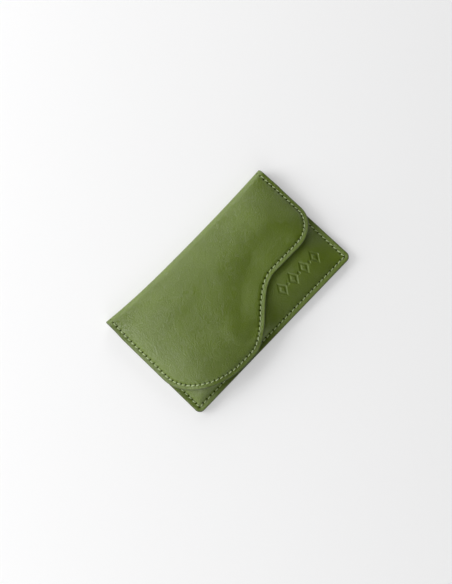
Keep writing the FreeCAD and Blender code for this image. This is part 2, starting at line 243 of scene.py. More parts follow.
def evenly(line, count):
    """count + 1 evenly spaced points along a line."""
    along = np.append(0, np.cumsum(np.linalg.norm(np.diff(line, axis=0), axis=1)))
    places = np.linspace(0, along[-1], count + 1)
    return np.stack([np.interp(places, along, line[:, k]) for k in (0, 1)], 1)


def line_length(line):
    """Length of a line of points."""
    return np.linalg.norm(np.diff(line, axis=0), axis=1).sum()


def flap_edge(inset=0.0, end=FOLD_END):
    """The flap's free edge, from the left end of the fold down, round the wave, and up to the right end."""
    fold_half = HALF_LENGTH - inset
    half = FLAP_HALF_LENGTH - inset
    low = FLAP_LOW_Y + inset
    high = low + WAVE_RISE
    left, right = LEFT_LOBE - inset, RIGHT_LOBE - inset
    left_centre = (-half + left[0], low + left[1])
    right_centre = (half - right[0], high + right[1])
    turn = np.linspace(math.pi, 0, 60)
    wave_x = WAVE_MIDDLE_X - WAVE_INSET_SHIFT * inset - WAVE_LENGTH * (turn / math.pi - 0.5)
    wave = np.stack((wave_x, (low + high) / 2 + WAVE_RISE / 2 * np.cos(turn)), 1)
    left_side = [(-fold_half, end), (-fold_half, FOLD_Y), (-half, FLAP_STRAIGHT_Y)]
    right_side = [(half, FLAP_STRAIGHT_Y), (fold_half, FOLD_Y), (fold_half, end)]
    return chain(
        left_side, arc(left_centre, left, 180, 270), wave, arc(right_centre, right, 270, 360), right_side
    )


def body_edge(inset=0.0, end=FOLD_END):
    """Left side, bottom with its round corners, and right side of the body, up to s = end."""
    half, low, r = HALF_LENGTH - inset, BOTTOM_Y + inset, CORNER_RADIUS
    return chain(
        [(-half, end)],
        arc((-half + r, low + r), (r, r), 180, 270),
        arc((half - r, low + r), (r, r), 270, 360),
        [(half, end)],
    )


def panel_edge(inset=0.0, top=MOUTH_Y):
    """The closed outline of a sheet in the front of the pocket, anticlockwise from its bottom left corner."""
    half, low, r = HALF_LENGTH - inset, BOTTOM_Y + inset, CORNER_RADIUS
    m = MOUTH_CORNER_RADIUS
    high = top - inset
    return chain(
        arc((-half + r, low + r), (r, r), 180, 270),
        arc((half - r, low + r), (r, r), 270, 360),
        arc((half - m, high - m), (m, m), 0, 90),
        arc((-half + m, high - m), (m, m), 90, 180),
        [(-half, low + r)],
    )


def distance_to(line):
    """A function that gives each point's distance from a line."""
    start, span = line[:-1], np.diff(line, axis=0)
    squared = (span**2).sum(1)
    batch = 1500

    def distance(points):
        found = np.empty(len(points))
        for i in range(0, len(points), batch):
            offset = points[i : i + batch, None, :] - start
            t = np.clip((offset * span).sum(2) / squared, 0, 1)
            found[i : i + batch] = np.linalg.norm(offset - t[..., None] * span, axis=2).min(1)
        return found

    return distance


# ------------------------------ bent surfaces
def surface_from(position, outward=1):
    """A function from flat points to places and outward normals. outward is -1 for a face that looks down."""
    step = 0.04

    def surface(flat):
        along_x = position(flat + (step, 0)) - position(flat - (step, 0))
        along_s = position(flat + (0, step)) - position(flat - (0, step))
        normal = np.cross(along_x, along_s) * outward
        return position(flat), normal / np.linalg.norm(normal, axis=1)[:, None]

    return surface


def below(surface, depth):
    """The same surface, deeper by depth."""

    def lower(flat):
        place, normal = surface(flat)
        return place - normal * depth, normal

    return lower


def underside(surface, thickness):
    """The other face of a sheet, facing the other way."""

    def face(flat):
        place, normal = surface(flat)
        return place - normal * thickness, -normal

    return face


def fold_bow(x, s):
    """The fold stands in from its ends, most at BOW_X, and the sheets next to it are drawn along."""
    along = (x - BOW_X) / np.where(x < BOW_X, HALF_LENGTH + BOW_X, HALF_LENGTH - BOW_X)
    return -FOLD_BOW * (1 - np.abs(along) ** 2.2) * smooth(FOLD_Y - FOLD_BOW_REACH, FOLD_Y, s)


def round_fold(x, s, height, side):
    """Places on a sheet that is at height up to the fold, and follows the fold from there.

    side is 1 for a sheet of the flap, over the fold's middle plane, and -1 for one of the back, below it.
    """
    turn = np.clip((s - FOLD_Y) / FOLD_RADIUS, 0, None)
    radius = (height - FOLD_RADIUS) * side
    y = np.minimum(s, FOLD_Y) + radius * np.sin(turn) + fold_bow(x, s)
    z = FOLD_RADIUS + side * radius * np.cos(turn)
    return np.stack((x, y, z), 1)


flap_distance = distance_to(evenly(flap_edge(end=FOLD_END + 5), 260))
body_distance = distance_to(evenly(body_edge(end=FOLD_END + 5), 260))


def flap_rise(s):
    """0 at the middle of the fold and 1 where the flap is level, steepest at the fold."""
    start = FOLD_Y + 2.5
    share = np.clip(soft_ramp(start - s, 1.5) / (start - FLAP_LEVEL_Y), 0, 1)
    return (1 - (1 - share) ** 2) * smooth(FOLD_END, FOLD_END - 2, s)


def flap_height(x, s):
    """Top of the plain flap leather, before it is padded. Round the fold it is measured outwards."""
    side_drop = FLAP_SIDE_DROP * smooth(*SIDE_FALL, np.abs(x))
    bottom_drop = FLAP_BOTTOM_DROP * smooth(*BOTTOM_FALL, s)
    free = FLAP_TOP - side_drop - bottom_drop
    at_fold = 2 * FOLD_RADIUS
    return at_fold + (free - at_fold) * flap_rise(s)


def board_room(s, distance):
    """How far the board and its films hold the leather off the lining, inside the flap's seam."""
    return (BOARD + 2 * FILM) * smooth(FLAP_SEAM_INSET + 0.4, BOARD_INSET, distance) * flap_rise(s)


def flap_padding(x, s, distance):
    """How far the outside of the flap stands off the plain flap: a soft pillow that falls to its edges.

    Where it falls fastest, the leather still keeps its least thickness above the lining.
    """
    inside = pillow(FLAP_SEAM_INSET, FLAP_SEAM_INSET + PADDING_WIDTH, distance)
    padding = BOARD + 2 * FILM + PADDING + sum(lumps(x, s, *each) for each in PADDING_LUMPS)
    along_wave = smooth(-18, -9, x) * smooth(26, 17, x)
    valley = VALLEY_DEPTH * ridge(distance, VALLEY_INSET, VALLEY_WIDTH) * along_wave
    from_magnet = np.hypot(x - MAGNET[0], s - MAGNET[1])
    over_magnet = MAGNET_BUMP * smooth(MAGNET_RADIUS + MAGNET_BUMP_REACH, 1, from_magnet)
    from_left = np.clip((-CROWN_X - x) / (HALF_LENGTH - CROWN_X), 0, 1)
    crown = CROWN * (1 - from_left**2) * smooth(*CROWN_WIDTH, distance)
    raised = (padding - valley) * inside + over_magnet + crown
    lowest = THINNEST - LEATHER + FLAP_DIP[0]
    return lowest + soft_ramp(raised * flap_rise(s) + edge_change(x, s) - lowest, 0.1)


def edge_change(x, s):
    """From the plain flap's short falls at its sides and bottom to the longer slopes of its outside."""
    side = pillow(FLAP_HALF_LENGTH, FLAP_LEVEL_X, np.abs(x)) - 1
    plain_side = smooth(*SIDE_FALL, np.abs(x))
    bottom = pillow(FLAP_LOW_Y, LOBE_LEVEL_Y, s) - 1
    plain_bottom = smooth(*BOTTOM_FALL, s)
    side_change = FLAP_SIDE_DROP * (side + plain_side)
    bottom_change = FLAP_BOTTOM_DROP * (bottom * smooth(*BOTTOM_FALL, FLAP_LOW_Y) + plain_bottom)
    return (side_change + bottom_change) * flap_rise(s)


def flap_curl(x, distance):
    """The free edge stands up a little along the hollow of the wave."""
    along = smooth(-18, -6, x) * smooth(40, 26, x)
    return CURL * along * smooth(CURL_WIDTH, 0, distance)


def seam_dip(distance, inset, depth, width):
    """How far a seam draws the leather in."""
    return depth * ridge(distance, inset, width)


def flap_seam_dip(s, distance):
    """The dip along the flap's seam, which fades out at the fold."""
    return seam_dip(distance, FLAP_SEAM_INSET, *FLAP_DIP) * smooth(FOLD_Y, FOLD_Y - 3, s)


def flap_position(flat, padded=True):
    """Places on top of the flap's leather. Unless padded, it lies as its lining does."""
    x, s = flat[:, 0], flat[:, 1]
    distance = flap_distance(flat)
    height = flap_height(x, s) + flap_curl(x, distance)
    if padded:
        height = height + flap_padding(x, s, distance) - flap_seam_dip(s, distance)
    return round_fold(x, s, height, side=1)


def back_position(flat):
    """Places on the outside of the back panel, which is drawn in along its seam."""
    x, s = flat[:, 0], flat[:, 1]
    groove = seam_dip(body_distance(flat), BODY_SEAM_INSET, *BACK_DIP)
    return round_fold(x, s, groove * smooth(FOLD_Y, FOLD_Y - 2, s), side=-1)


def plain_back_position(flat):
    """The same places with no seam."""
    x, s = flat[:, 0], flat[:, 1]
    return round_fold(x, s, np.zeros(len(x)), side=-1)


def pocket_puff(x, s):
    """0 at the body's seam and 1 where the pocket is level. The level part ends lower down at the left."""
    side = pillow(PANEL_FOOT_X, PANEL_LEVEL_X, np.abs(x))
    level = CARD_BOTTOM_Y + (PANEL_LEVEL_Y - CARD_BOTTOM_Y) * smooth(-4, 12, x)
    return side * pillow(BOTTOM_Y + BODY_SEAM_INSET, level, s)


def lozenge_line(u, v, half_length, half_height):
    """Distance from the outline of a lozenge."""
    reach = np.abs(np.abs(u) / half_length + np.abs(v) / half_height - 1)
    return reach * half_length * half_height / math.hypot(half_length, half_height)


def motif(x, s):
    """Depth of the blind-stamped row: open lozenges, with a dot between each two."""
    u, v = x - MOTIF_CENTRE[0], s - MOTIF_CENTRE[1]
    depth = np.zeros(len(x))
    for k in range(MOTIF_COUNT):
        across = u - (k - (MOTIF_COUNT - 1) / 2) * MOTIF_PITCH
        distance = lozenge_line(across, v, MOTIF_HALF_WIDTH, MOTIF_HALF_HEIGHT)
        depth = np.maximum(depth, smooth(*MOTIF_STROKE, distance))
    for k in range(MOTIF_COUNT - 1):
        distance = np.hypot(u - (k - (MOTIF_COUNT - 2) / 2) * MOTIF_PITCH, v)
        depth = np.maximum(depth, smooth(*MOTIF_DOT, distance))
    return depth * MOTIF_DEPTH


def panel_position(flat, stamped=True):
    """Places on the front panel. Unless stamped, it has no stamp, seam or lumps, as its lining has none."""
    x, s = flat[:, 0], flat[:, 1]
    puff = pocket_puff(x, s)
    height = SEAM_TOP + (PANEL_TOP - SEAM_TOP) * puff
    if stamped:
        dip = seam_dip(body_distance(flat), BODY_SEAM_INSET, *PANEL_DIP) * smooth(MOUTH_Y + 1, MOUTH_Y - 1, s)
        height = height - motif(x, s) - dip + lumps(x, s, *PANEL_LUMPS) * puff
    return np.stack((x, s, height), 1)


flap_surface = surface_from(flap_position)
plain_flap_surface = surface_from(lambda flat: flap_position(flat, padded=False))
back_surface = surface_from(back_position, outward=-1)
plain_back_surface = surface_from(plain_back_position, outward=-1)
panel_surface = surface_from(panel_position)
plain_panel_surface = surface_from(lambda flat: panel_position(flat, stamped=False))


# ------------------------------ meshes
def inwards(line, closed):
    """Unit vectors that point to the inside of a line that runs anticlockwise."""
    if closed:
        along = np.roll(line, -1, 0) - np.roll(line, 1, 0)
    else:
        along = np.vstack((line[1] - line[0], line[2:] - line[:-2], line[-1] - line[-2]))
    side = np.stack((-along[:, 1], along[:, 0]), 1)
    return side / np.linalg.norm(side, axis=1)[:, None]


def lattice(low, high, spacing):
    """Points in a triangular pattern between two corners."""
    row_pitch = spacing * 0.866
    rows = np.arange(low[1], high[1], row_pitch)
    columns = np.arange(low[0], high[0], spacing)
    shift = (np.arange(len(rows)) % 2 * spacing / 2)[:, None]
    x = columns[None, :] + shift
    s = np.broadcast_to(rows[:, None], x.shape)
    return np.stack((x.ravel(), s.ravel()), 1)


def fold_rows(half, spacing):
    """Rows of points round the fold, close together, up to the middle line where two sheets meet."""
    rows = np.append(np.arange(FOLD_Y + 0.2, FOLD_END - 0.3, 0.35), FOLD_END - 0.05)
    columns = np.arange(-half, half, spacing)
    return np.vstack([np.column_stack((columns, np.full(len(columns), s))) for s in rows])


def inside_loop(points, loop):
    """Which points are inside a closed loop, by counting how often a ray to the right crosses it."""
    start, end = loop, np.roll(loop, -1, 0)
    inside = np.zeros(len(points), bool)
    for (x0, s0), (x1, s1) in zip(start, end):
        if s0 == s1:
            continue
        crosses = (points[:, 1] > min(s0, s1)) & (points[:, 1] <= max(s0, s1))
        at_x = x0 + (points[:, 1] - s0) * (x1 - x0) / (s1 - s0)
        inside ^= crosses & (points[:, 0] < at_x)
    return inside


def triangles_over(loop, inner_points):
    """Triangles that fill a loop, with the given points inside it."""
    points = np.vstack((loop, inner_points))
    edges = [(i, (i + 1) % len(loop)) for i in range(len(loop))]
    _, _, faces, sources, _, _ = geometry.delaunay_2d_cdt(
        [Vector(p) for p in points], edges, [], 0, 1e-5, True
    )
    index = np.array([source[0] for source in sources])
    faces = index[np.array(faces)]
    return points, faces[inside_loop(points[faces].mean(1), loop)].tolist()


def new_object(name, vertices, faces, material):
    """A smooth mesh object from places in mm."""
    mesh = bpy.data.meshes.new(name)
    mesh.from_pydata((np.asarray(vertices) * MM).tolist(), [], faces)
    mesh.polygons.foreach_set("use_smooth", [True] * len(mesh.polygons))
    mesh.materials.append(material)
    piece = bpy.data.objects.new(name, mesh)
    bpy.context.scene.collection.objects.link(piece)
    return piece


def add_values(piece, name, values):
    """Stores one number, or three, per vertex for the material to read."""
    values = np.asarray(values, np.float32)
    kind, key = ("FLOAT_VECTOR", "vector") if values.ndim == 2 else ("FLOAT", "value")
    piece.data.attributes.new(name, kind, "POINT").data.foreach_set(key, values.ravel())


def inner_points(edge, loop, closed, rim, rings, spacing, finer):
    """Flat points inside a sheet's loop: a lattice, a row at each ring, and the lattice of a finer area."""
    inside = inwards(edge, closed)
    distance = distance_to(np.vstack((edge, edge[:1])) if closed else edge)
    filling = lattice(edge.min(0), edge.max(0) + (0, 1e-9), spacing)
    if not closed:
        filling = np.vstack((filling[filling[:, 1] < FOLD_Y], fold_rows(HALF_LENGTH, spacing)))
    if finer is not None:
        low, high, close = finer
        in_area = ((filling > low) & (filling < high)).all(1)
        filling = np.vstack((filling[~in_area], lattice(low, high, close)))
    last_ring = max(rings, default=rim)
    kept = [filling[distance(filling) > last_ring + spacing * 0.45]]
    for at in rings:
        row = edge + inside * at
        clear = distance(row) > at - 0.02
        if not closed:
            clear &= row[:, 1] < FOLD_END - 0.03
        kept.append(row[clear])
    kept = np.vstack(kept)
    return kept[inside_loop(kept, loop)]


def rim_rows(edge_place, outer, inner, normal, rim, thinnest):
    """Rows of places that round off a sheet's edge, from its outer face to its inner one."""
    outwards = edge_place - outer
    outwards -= normal * (outwards * normal).sum(1)[:, None]
    outwards /= np.linalg.norm(outwards, axis=1)[:, None]
    radius = min(rim, thinnest / 2)
    turns = np.radians((68, 45, 22, 0))
    rows = []
    for turn in turns:
        rows.append(outer + outwards * rim * math.cos(turn) - normal * radius * (1 - math.sin(turn)))
    for turn in turns[::-1]:
        rows.append(inner + outwards * rim * math.cos(turn) + normal * radius * (1 - math.sin(turn)))
    return rows


def rim_faces(strips, closed):
    """Faces between neighbouring rows of points along a sheet's edge."""
    count = len(strips[0])
    faces = []
    for upper, lower in zip(strips, strips[1:]):
        for i in range(count if closed else count - 1):
            j = (i + 1) % count
            faces.append([upper[j], upper[i], lower[i], lower[j]])
    return faces


def cut_faces(strips, outer_loop, under):
    """Faces that close a sheet where it is cut at the fold's middle line, and the points they use.

    outer_loop is how many points go round the outer face, and under is added to number the inner face's.
    """
    ends = (0, len(strips[0]) - 1)
    wall = list(range(ends[1], outer_loop)) + [0]
    faces = [[j, i, i + under, j + under] for i, j in zip(wall, wall[1:])]
    first, last = ([strip[end] for strip in strips] for end in ends)
    faces += [first, last[::-1]]
    return faces, set(first + last + wall + [i + under for i in wall])


def sheet(
    name, edge, surface, thickness, material,
    closed=False, rim=0.35, rings=(), spacing=1.1, holes=None, finer=None,
):
    """A sheet of leather with rounded edges.

    edge is evenly spaced and anticlockwise. An open edge ends at the fold's middle line, where the sheet is
    cut. surface gives the outer face. thickness is a number, or a function of flat points. rings are
    distances from the edge that get a row of points each. holes are flat points. finer is an area with closer
    points: its corners and spacing.
    """
    if closed:
        edge = edge[:-1]
    border = edge + inwards(edge, closed) * rim
    loop = border
    if not closed:
        count = int((border[-1][0] - border[0][0]) / spacing)
        loop = np.vstack((border, evenly(np.array((border[-1], border[0])), count)[1:-1]))
    inner_flat = inner_points(edge, loop, closed, rim, rings, spacing, finer)
    flat, faces = triangles_over(loop, inner_flat)

    place, normal = surface(flat)
    depth = thickness(flat) if callable(thickness) else np.full(len(flat), thickness)
    pit = hole_depths(flat, holes)
    outer = place - normal * (HOLE_DEPTH * pit)[:, None]
    inner = place - normal * depth[:, None]
    count, at_border = len(flat), slice(len(border))
    edge_place, _ = surface(edge)
    rows = rim_rows(
        edge_place, outer[at_border], inner[at_border], normal[at_border], rim, depth[at_border].min()
    )

    strip_starts = [0] + [2 * count + k * len(border) for k in range(len(rows))] + [count]
    strips = [list(range(start, start + len(border))) for start in strip_starts]
    faces = faces + [[i + count for i in reversed(face)] for face in faces] + rim_faces(strips, closed)
    cut = set()
    if not closed:
        closing, cut = cut_faces(strips, len(loop), count)
        faces += closing

    piece = new_object(name, np.vstack([outer, inner] + rows), faces, material)
    piece.data.validate()
    turn_outwards(piece)
    for mesh_edge in piece.data.edges:
        if cut.issuperset(mesh_edge.vertices):
            mesh_edge.use_edge_sharp = True
    add_sheet_values(piece, flat, np.vstack([edge] * len(rows)), pit, len(border))
    return piece


def hole_depths(flat, holes):
    """1 in the middle of a needle hole, and 0 away from them all."""
    if holes is None:
        return np.zeros(len(flat))
    nearest = np.min([np.linalg.norm(flat - hole, axis=1) for hole in holes], axis=0)
    return np.exp(-((nearest / HOLE_RADIUS) ** 2))


def add_sheet_values(piece, flat, rim_flat, pit, border_count):
    """What the leather's material reads: the place on the leather, the needle holes, which get painted shade,
    and the worn rim.
    """
    inner_face_shift = (0, 200)
    places = np.vstack((flat, flat + inner_face_shift, rim_flat))
    add_values(piece, "flat", np.column_stack((places, np.zeros(len(places)))))
    add_values(piece, "pit", np.concatenate((pit, np.zeros(len(places) - len(pit)))))
    face_rim = np.zeros(len(flat))
    face_rim[:border_count] = 0.4
    add_values(piece, "rim", np.concatenate((face_rim, face_rim, np.ones(len(rim_flat)))))


def turn_outwards(piece):
    """Makes every face of a closed mesh look outwards."""
    bm = bmesh.new()
    bm.from_mesh(piece.data)
    bmesh.ops.recalc_face_normals(bm, faces=bm.faces)
    bm.to_mesh(piece.data)
    bm.free()


# ------------------------------ stitches
def seam_points(line):
    """A seam line with a whole number of stitches, as evenly spaced points."""
    return evenly(line, round(line_length(line) / STITCH_PITCH) * POINTS_PER_STITCH)


def seam_holes(line):
    """The needle holes: one between each two stitches, a little to the seam's inner side."""
    return (line + inwards(line, False) * HOLE_SHIFT)[::POINTS_PER_STITCH]


def stitch_places(seams, end):
    """Middle and direction of each stitch of some seams, up to s = end."""
    half = POINTS_PER_STITCH // 2
    middles = np.vstack([seam[half::POINTS_PER_STITCH] for seam in seams])
    along = np.vstack([np.diff(seam[::POINTS_PER_STITCH], axis=0) for seam in seams])
    along /= np.linalg.norm(along, axis=1)[:, None]
    kept = middles[:, 1] < end
    return middles[kept], along[kept]


def twisted_tube(line, normal, radius, stations, around):
    """Points round a two-ply thread along each line. It thins out to its ends."""
    forward = np.gradient(line, axis=1)
    forward /= np.linalg.norm(forward, axis=2)[..., None]
    side = np.cross(forward, normal)
    side /= np.linalg.norm(side, axis=2)[..., None]
    up = np.cross(side, forward)
    twist = stations * 2.2
    plies = 1 + 0.16 * np.cos(2 * (around[None, :] - twist[:, None]))
    size = radius * plies * np.sqrt(1 - 0.55 * np.abs(stations) ** 6)[:, None]
    sideways = side[:, :, None, :] * (size * np.cos(around))[None, :, :, None]
    upwards = up[:, :, None, :] * (size * np.sin(around))[None, :, :, None]
    return line[:, :, None, :] + sideways + upwards


def tube_faces(tubes, rows, ring):
    """Faces of closed tubes of some rows of points, with ring points in each row."""
    faces = []
    for first in range(0, tubes * rows * ring, rows * ring):
        for row in range(first, first + (rows - 1) * ring, ring):
            for j in range(ring):
                a, b = row + j, row + (j + 1) % ring
                faces.append([a, b, b + ring, a + ring])
        faces.append(list(range(first, first + ring))[::-1])
        faces.append(list(range(first + (rows - 1) * ring, first + rows * ring)))
    return faces


def stitches(name, seams, surface, material, radius=THREAD_RADIUS, proud=0.55, end=FOLD_END):
    """Stitches along each seam: short lengths of two-ply thread that dive into the leather at both ends."""
    stations = np.linspace(-1, 1, 11)
    around = np.linspace(0, 2 * math.pi, 10, endpoint=False)
    middles, along = stitch_places(seams, end)
    across = np.stack((-along[:, 1], along[:, 0]), 1)
    slanted = along * math.cos(STITCH_SLANT) + across * math.sin(STITCH_SLANT)
    flat = middles[:, None, :] + slanted[:, None, :] * (stations * STITCH_LENGTH / 2)[None, :, None]
    place, normal = surface(flat.reshape(-1, 2))
    place = place.reshape(len(middles), len(stations), 3)
    normal = normal.reshape(place.shape)
    lift = radius * (proud - 1.9 * np.abs(stations) ** 4)
    tube = twisted_tube(place + normal * lift[None, :, None], normal, radius, stations, around)
    faces = tube_faces(len(middles), len(stations), len(around))
    piece = new_object(name, tube.reshape(-1, 3), faces, material)
    turn_outwards(piece)
    length = np.tile(np.repeat(stations * STITCH_LENGTH / 2, len(around)), len(middles))
    turn = np.tile(np.tile(around, len(stations)), len(middles))
    number = np.repeat(np.arange(len(middles)), len(stations) * len(around))
    add_values(piece, "flat", np.column_stack((length, turn, number)))
    return piece


# ------------------------------ materials
def new_material(name):
    """A node material, its nodes and links, and its main shader."""
    material = bpy.data.materials.new(name)
    material.use_nodes = True
    nodes = material.node_tree.nodes
    return material, nodes, material.node_tree.links, nodes["Principled BSDF"]


def node(nodes, kind, inputs=None, **settings):
    """A new shader node with its settings and its unlinked input values."""
    made = nodes.new("ShaderNode" + kind)
    for key, value in settings.items():
        setattr(made, key, value)
    for key, value in (inputs or {}).items():
        made.inputs[key].default_value = value
    return made


def flat_coordinates(nodes, links, scale, turn=0.0):
    """Flat leather coordinates in mm, turned and scaled for a texture."""
    read = node(nodes, "Attribute", attribute_name="flat")
    mapping = node(nodes, "Mapping", {"Rotation": (0, 0, turn), "Scale": scale}, vector_type="TEXTURE")
    links.new(read.outputs["Vector"], mapping.inputs["Vector"])
    return mapping.outputs["Vector"]


def set_or_link(links, socket, value):
    """Gives an input a value, or links another node's output to it."""
    if isinstance(value, bpy.types.NodeSocket):
        links.new(value, socket)
    else:
        socket.default_value = value


def blend_colours(nodes, links, factor, first, second):
    """first where factor is 0, and second where it is 1."""
    mix = node(nodes, "MixRGB")
    for socket, value in zip(mix.inputs, (factor, first, second)):
        set_or_link(links, socket, value)
    return mix.outputs[0]


def calculate(nodes, links, operation, first, second):
    """The result of a sum with two values."""
    made = node(nodes, "Math", operation=operation)
    for socket, value in zip(made.inputs, (first, second)):
        set_or_link(links, socket, value)
    return made.outputs[0]


def remap(nodes, links, value, from_range=(0.0, 1.0), to_range=(0.0, 1.0)):
    """value brought from one range to another, and kept inside it."""
    from_low, from_high = from_range
    to_low, to_high = to_range
    limits = {"From Min": from_low, "From Max": from_high, "To Min": to_low, "To Max": to_high}
    made = node(nodes, "MapRange", limits)
    links.new(value, made.inputs["Value"])
    return made.outputs[0]


def attribute(nodes, name):
    """One of the numbers that the mesh carries for its material."""
    return node(nodes, "Attribute", attribute_name=name).outputs["Fac"]


def add_relief(nodes, links, shader, height, distance, strength=1.0):
    """Bumps by height, of up to distance in metres."""
    relief = node(nodes, "Bump", {"Strength": strength, "Distance": distance})
    links.new(height, relief.inputs["Height"])
    links.new(relief.outputs[0], shader.inputs["Normal"])


def shade(colour, brightness):
    """A colour for a node, made darker or lighter."""
    return (*[min(part * brightness, 1) for part in colour], 1)


def crease_height(nodes, links, turn):
    """0 in the leather's creases and 1 between them. They run along one direction, and wander."""
    coordinates = flat_coordinates(nodes, links, (1.2, 0.5, 1), turn)
    bend = node(nodes, "TexNoise", {"Scale": 0.6, "Detail": 2.0})
    links.new(coordinates, bend.inputs["Vector"])
    warped = node(nodes, "VectorMath", operation="MULTIPLY_ADD")
    links.new(bend.outputs["Color"], warped.inputs[0])
    warped.inputs[1].default_value = (0.9, 0.9, 0)
    links.new(coordinates, warped.inputs[2])
    creases = node(nodes, "TexVoronoi", {"Scale": 1.0, "Randomness": 1.0}, feature="DISTANCE_TO_EDGE")
    links.new(warped.outputs[0], creases.inputs["Vector"])
    return remap(nodes, links, creases.outputs["Distance"], (0.0, 0.16))


def grain_height(nodes, links, creases, turn):
    """The leather's relief: stretched pebbles and fine pores between the creases."""
    pebbles = node(nodes, "TexNoise", {"Scale": 1.0, "Detail": 3.0, "Roughness": 0.6})
    links.new(flat_coordinates(nodes, links, (0.75, 0.25, 1), turn), pebbles.inputs["Vector"])
    pores = node(nodes, "TexVoronoi", {"Scale": 1.0}, feature="F1")
    links.new(flat_coordinates(nodes, links, (0.55, 0.55, 1)), pores.inputs["Vector"])
    pore_depth = remap(nodes, links, pores.outputs["Distance"], (0.0, 0.22))
    height = calculate(nodes, links, "MULTIPLY", creases, 0.55)
    for layer, share in ((pebbles.outputs[0], 0.9), (pore_depth, 0.25)):
        height = calculate(nodes, links, "ADD", height, calculate(nodes, links, "MULTIPLY", layer, share))
    return height


def leather_material(name, colour, grain=1.0, roughness=0.37):
    """Fine-grained leather: creases over small pebbles, with painted shade in the creases, cloudy colour,
    dark rims, and needle holes with painted shade in them.
    """
    material, nodes, links, shader = new_material(name)
    grain_turn = math.radians(50)
    creases = crease_height(nodes, links, grain_turn)
    add_relief(nodes, links, shader, grain_height(nodes, links, creases, grain_turn), 0.0001 * grain)

    clouds = node(nodes, "TexNoise", {"Scale": 1.0, "Detail": 4.0, "Roughness": 0.55})
    links.new(flat_coordinates(nodes, links, (14, 14, 1)), clouds.inputs["Vector"])
    tone = blend_colours(nodes, links, clouds.outputs[0], shade(colour, 0.80), shade(colour, 1.18))
    # Painted shade: the tone is darkened in the creases of the grain.
    crease_shade = remap(nodes, links, creases, (0.0, 0.9), (0.16, 0.0))
    tone = blend_colours(nodes, links, crease_shade, tone, shade(colour, 0.35))
    tone = blend_colours(nodes, links, attribute(nodes, "rim"), tone, shade(colour, 0.4))
    pit = attribute(nodes, "pit")
    # Painted shade: the needle holes are coloured nearly black, for the shadow inside them.
    tone = blend_colours(nodes, links, remap(nodes, links, pit, (0.1, 0.6)), tone, shade(colour, 0.05))
    links.new(tone, shader.inputs["Base Color"])

    rough = remap(nodes, links, clouds.outputs[0], to_range=(roughness - 0.06, roughness + 0.1))
    links.new(rough, shader.inputs["Roughness"])
    links.new(remap(nodes, links, pit, (0.0, 0.6), (0.8, 0.0)), shader.inputs["Specular IOR Level"])
    shader.inputs["Sheen Weight"].default_value = 0.05
    shader.inputs["Sheen Roughness"].default_value = 0.4
    return material


def thread_material():
    """Waxed two-ply thread: fine fibres along the twist, and a slightly different tone for each stitch."""
    material, nodes, links, shader = new_material("thread")
    read = node(nodes, "Attribute", attribute_name="flat")
    mapping = node(nodes, "Mapping", {"Scale": (2.4, 0.7, 0.0)})
    links.new(read.outputs["Vector"], mapping.inputs["Vector"])
    fibres = node(
        nodes, "TexWave", {"Scale": 1.0, "Distortion": 1.5, "Detail": 2.0}, bands_direction="DIAGONAL"
    )
    links.new(mapping.outputs[0], fibres.inputs["Vector"])
    parts = node(nodes, "SeparateXYZ")
    links.new(read.outputs["Vector"], parts.inputs[0])
    each = node(nodes, "TexWhiteNoise", noise_dimensions="1D")
    links.new(parts.outputs[2], each.inputs["W"])
    tone = blend_colours(nodes, links, each.outputs["Value"], *THREAD_COLOURS)
    tone = blend_colours(nodes, links, fibres.outputs["Fac"], FIBRE_COLOUR, tone)
    links.new(tone, shader.inputs["Base Color"])
    add_relief(nodes, links, shader, fibres.outputs["Fac"], 0.00004, strength=0.5)
    shader.inputs["Roughness"].default_value = 0.55
    return material


def fine_noise(nodes, links, scale, detail, roughness=0.5):
    """Noise in the object's own space, for small parts that carry no flat coordinates."""
    place = node(nodes, "TexCoord")
    made = node(nodes, "TexNoise", {"Scale": scale, "Detail": detail, "Roughness": roughness})
    links.new(place.outputs["Object"], made.inputs["Vector"])
    return made.outputs[0]


def metal_material(name, colour, roughness):
    """Thin metal disc with fine marks and a few dull patches."""
    material, nodes, links, shader = new_material(name)
    marks = fine_noise(nodes, links, 900.0, 3.0)
    rough = remap(nodes, links, marks, to_range=(roughness - 0.1, roughness + 0.15))
    links.new(rough, shader.inputs["Roughness"])
    tone = blend_colours(nodes, links, marks, shade(colour, 0.8), shade(colour, 1))
    links.new(tone, shader.inputs["Base Color"])
    shader.inputs["Metallic"].default_value = 1.0
    return material


def board_material():
    """Pressed leather-fibre board, speckled."""
    material, nodes, links, shader = new_material("board")
    specks = fine_noise(nodes, links, 1400.0, 5.0, roughness=0.7)
    links.new(blend_colours(nodes, links, specks, *BOARD_COLOURS), shader.inputs["Base Color"])
    add_relief(nodes, links, shader, specks, 0.00005, strength=0.4)
    shader.inputs["Roughness"].default_value = 0.85
    return material


leather = leather_material("leather", LEATHER_COLOUR)
lining_leather = leather_material("lining_leather", LINING_COLOUR, grain=0.7, roughness=0.6)
thread = thread_material()
board = board_material()
steel = metal_material("steel", STEEL_COLOUR, 0.35)
nickel = metal_material("nickel", NICKEL_COLOUR, 0.25)


# ------------------------------ the pieces
LINING_RIM = 0.12
SEAM_ROWS = (-0.45, -0.22, 0.0, 0.22, 0.45)


def rows_at(inset, *more):
    """Distances from the edge for rows of points at a seam, and further rows."""
    return tuple(inset + row for row in SEAM_ROWS) + more


def with_back(piece):
    """The piece lies on the back panel; its place is baked into its mesh."""
    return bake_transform(piece)


def with_flap(piece):
    """A piece of the flap; its place is baked into its mesh."""
    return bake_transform(piece)


def replace_nodes(piece, slot, *nodes):
    """Hides the CAD nodes that the piece takes the place of. The material slot is not used."""
    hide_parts(*nodes)


